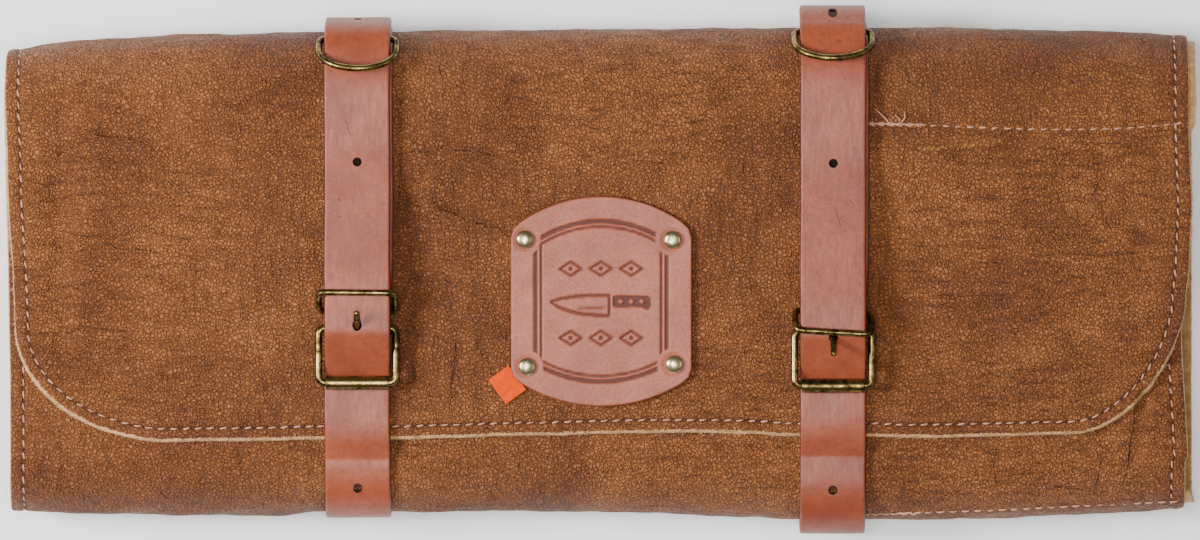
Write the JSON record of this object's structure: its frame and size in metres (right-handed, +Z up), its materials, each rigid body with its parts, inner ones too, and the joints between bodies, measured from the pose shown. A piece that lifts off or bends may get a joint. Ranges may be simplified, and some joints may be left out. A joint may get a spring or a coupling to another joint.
{
  "type": "chef knife roll",
  "caption": "Leather chef knife roll, rolled up and held by buckled straps with D-rings, with a riveted leather patch on its flap.",
  "frame": {"origin": "centre of the footprint's bounding box, on the surface that the roll lies on", "axes": "+X along the roll, towards the end where the pocket panel shows; +Y from the flap's edge towards the fold of the flap; +Z up, away from the surface it lies on"},
  "size_m": [0.513, 0.2288, 0.0704],
  "materials": {
    "roll_leather": "pebbled brown grain, satin",
    "strap_leather": "smooth reddish brown, semi-matt",
    "patch_leather": "smooth pinkish brown with a pressed line motif",
    "pocket_leather": "pale undyed suede with raw edges",
    "antique_brass": "dark antique brass, rubbed bright on its high spots",
    "rivet_brass": "worn nickel and brass, satin",
    "orange_tab": "thin orange leather, matt"
  },
  "bodies": {
    "root": {"roll_leather": "roll_leather", "pocket_panel": "pocket_leather", "strap_left": "strap_leather", "strap_right": "strap_leather", "buckle_frame_left": "antique_brass", "buckle_frame_right": "antique_brass", "buckle_prong_left": "antique_brass", "buckle_prong_right": "antique_brass", "buckle_keeper_left": "antique_brass", "buckle_keeper_right": "antique_brass", "d_ring_left": "antique_brass", "d_ring_right": "antique_brass", "patch": "patch_leather", "rivet_top_left": "rivet_brass", "rivet_top_right": "rivet_brass", "rivet_bottom_left": "rivet_brass", "rivet_bottom_right": "rivet_brass", "tab": "orange_tab"},
    "roller_left": {"buckle_roller_left": "antique_brass"},
    "roller_right": {"buckle_roller_right": "antique_brass"}
  },
  "joints": [
    {"name": "roller_left_spin", "type": "hinge", "parent": "root", "child": "roller_left", "pos_m": [-0.1043, -0.04909, 0.05474], "axis": [1, 0, 0], "continuous": true},
    {"name": "roller_right_spin", "type": "hinge", "parent": "root", "child": "roller_right", "pos_m": [0.1002, -0.05039, 0.05477], "axis": [1, 0, 0], "continuous": true}
  ]
}
